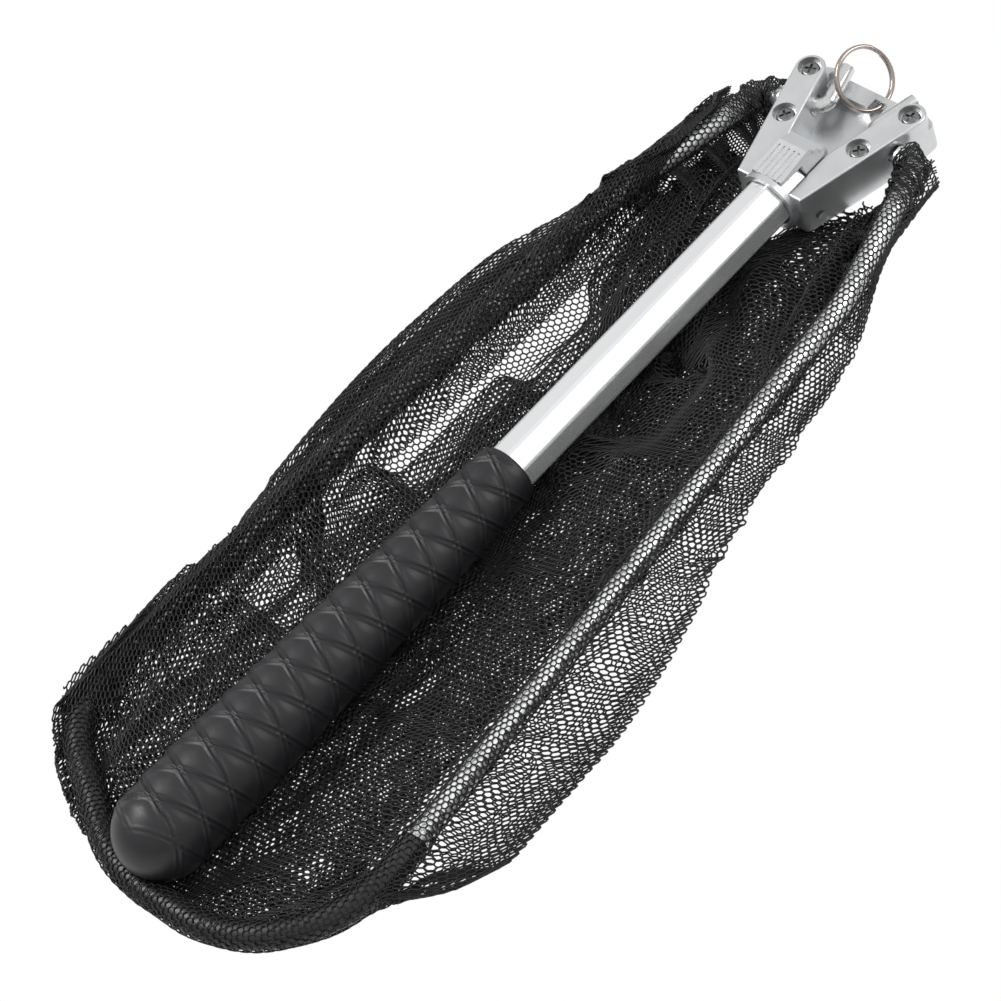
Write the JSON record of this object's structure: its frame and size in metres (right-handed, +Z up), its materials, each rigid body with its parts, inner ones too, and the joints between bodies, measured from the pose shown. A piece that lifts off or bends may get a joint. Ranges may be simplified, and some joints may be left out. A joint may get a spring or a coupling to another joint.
{
  "type": "folding landing net",
  "caption": "Folding landing net: hinged hoop with a knitted mesh bag, cast clamp head with a thumb latch, faceted tube handle and ribbed rubber grip.",
  "frame": {"origin": "on the ground, below the middle of the folded net's bounding box", "axes": "+X along the handle towards the head, +Y to the left, +Z up, with the folded net lying on the ground"},
  "size_m": [0.436, 0.1982, 0.0371],
  "materials": {
    "cast_alloy": "bead-blasted die casting",
    "polished_tube": "polished extrusion with long flats",
    "satin_rod": "satin drawn tube",
    "bar_metal": "satin bar",
    "bush_metal": "turned",
    "screw_steel": "zinc plated",
    "nickel_wire": "nickel plated spring wire",
    "grip_rubber": "matt moulded rubber",
    "loop_plastic": "matt flexible tube",
    "black_plastic": "moulded",
    "net_mesh": "knitted hexagonal mesh"
  },
  "bodies": {
    "handle": {"head_base": "cast_alloy", "left_arm": "cast_alloy", "right_arm": "cast_alloy", "clamp_screws": "screw_steel", "left_pivot_bush": "bush_metal", "right_pivot_bush": "bush_metal", "handle_tube": "polished_tube", "tube_rivet": "screw_steel", "tube_plug": "black_plastic", "rubber_grip": "grip_rubber", "detent_spring": "screw_steel", "detent_ball": "screw_steel"},
    "hoop": {"left_rod": "satin_rod", "right_rod": "satin_rod", "loop_core": "black_plastic", "front_loop": "loop_plastic", "net_hem": "net_mesh", "net_bag": "net_mesh"},
    "left_bar": {"left_hinge_bar": "bar_metal"},
    "right_bar": {"right_hinge_bar": "bar_metal"},
    "latch": {"thumb_latch": "cast_alloy", "latch_screw": "screw_steel", "latch_washer": "screw_steel"},
    "ring": {"split_ring": "nickel_wire"}
  },
  "joints": [
    {"name": "hoop_fold", "type": "hinge", "parent": "handle", "child": "hoop", "pos_m": [0.18487, 0, 0.0193], "axis": [0, -1, 0], "range_deg": [0, 180]},
    {"name": "left_bar_turn", "type": "hinge", "parent": "handle", "child": "left_bar", "pos_m": [0.18685, 0.0213, 0.0193], "axis": [0.2756, -0.9613, 0], "range_deg": [0, 180]},
    {"name": "right_bar_turn", "type": "hinge", "parent": "handle", "child": "right_bar", "pos_m": [0.18685, -0.0213, 0.0193], "axis": [-0.2756, -0.9613, 0], "range_deg": [0, 180]},
    {"name": "latch_slide", "type": "slide", "parent": "handle", "child": "latch", "axis": [1, 0, 0], "range_m": [0, 0.005]},
    {"name": "ring_swing", "type": "hinge", "parent": "handle", "child": "ring", "pos_m": [0.2056, -0.0034, 0.0132], "axis": [1, 0, 0], "range_deg": [-12, 50]}
  ],
  "couplings": [
    {"joint": "left_bar_turn", "follows": "hoop_fold", "ratio": 1},
    {"joint": "right_bar_turn", "follows": "hoop_fold", "ratio": 1}
  ]
}
